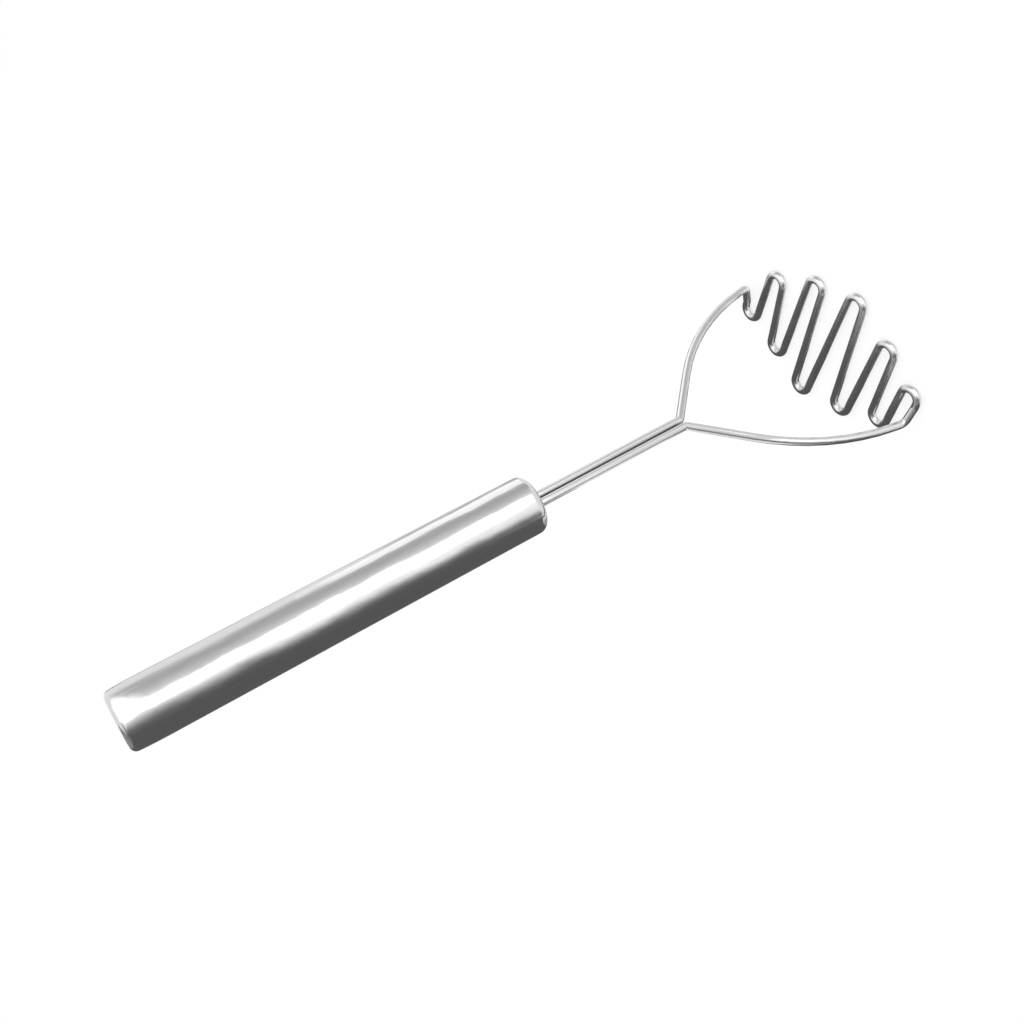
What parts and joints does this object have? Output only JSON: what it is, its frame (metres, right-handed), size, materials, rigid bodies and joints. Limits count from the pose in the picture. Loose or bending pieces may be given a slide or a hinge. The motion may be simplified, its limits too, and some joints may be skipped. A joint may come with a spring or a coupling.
{
  "type": "potato masher",
  "caption": "Potato masher with a serpentine wire mashing face on two curved arms, a twin-wire shank and a round tubular steel handle.",
  "frame": {"origin": "on the handle's axis, in the plane that the mashing face stands on", "axes": "+Z along the handle's axis from the mashing face to the handle, +X across the two arms, +Y along the legs of the mashing face"},
  "size_m": [0.0949, 0.0643, 0.3023],
  "materials": {
    "wire_steel": "bright drawn stainless wire",
    "handle_steel": "satin polished stainless tube",
    "weld_steel": "cleaned weld",
    "plain_steel": "turned steel"
  },
  "bodies": {
    "root": {"masher_wire": "wire_steel", "handle_tube": "handle_steel", "front_cap": "handle_steel", "rear_cap": "handle_steel", "wire_weld": "weld_steel", "tail_plug": "plain_steel"}
  },
  "joints": []
}
